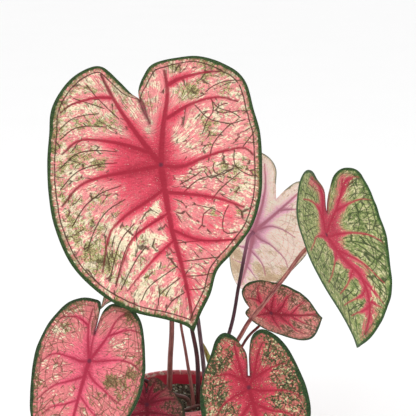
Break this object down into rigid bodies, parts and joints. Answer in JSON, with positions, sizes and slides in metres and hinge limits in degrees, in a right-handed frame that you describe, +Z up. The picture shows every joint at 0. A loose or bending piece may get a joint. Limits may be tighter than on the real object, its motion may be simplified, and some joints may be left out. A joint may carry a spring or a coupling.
{
  "type": "caladium in a pot",
  "caption": "Potted caladium: heart-shaped leaves on slender stalks rising from potting soil in a round tapered plastic pot.",
  "frame": {"origin": "middle of the pot's flat base, on the surface that it stands on", "axes": "+Z up, +X to the viewer's right and -Y towards the viewer of the large leaf"},
  "size_m": [0.3759, 0.2558, 0.4714],
  "materials": {
    "pot_plastic": "moulded raspberry-red plastic, satin gloss",
    "soil": "coarse potting soil with pale grains and moss",
    "blade_pink": "thin pink and cream leaf with red veins and a green margin, satin",
    "blade_green": "thin green leaf with pale specks, pink-red veins and a green margin, satin",
    "blade_cream": "pale cream-pink leaf underside with mauve veins, satin",
    "blade_dark": "thin dull crimson leaf with an olive margin, satin",
    "stalk": "smooth pink-brown to maroon leaf stalk, satin",
    "young_leaf": "yellow-green rolled young leaf, satin"
  },
  "bodies": {
    "root": {"pot": "pot_plastic", "soil": "soil", "blade_large": "blade_pink", "blade_lower_left": "blade_pink", "blade_lower_middle": "blade_pink", "blade_right": "blade_green", "blade_back": "blade_cream", "blade_small": "blade_dark", "blade_dark": "blade_dark", "blade_peeking": "blade_pink", "blade_rear_left": "blade_pink", "blade_rear_top": "blade_pink", "stalk_large": "stalk", "stalk_lower_left": "stalk", "stalk_lower_middle": "stalk", "stalk_right": "stalk", "stalk_back": "stalk", "stalk_small": "stalk", "stalk_dark": "stalk", "stalk_peeking": "stalk", "stalk_rear_left": "stalk", "stalk_rear_top": "stalk", "young_leaf": "young_leaf"}
  },
  "joints": []
}
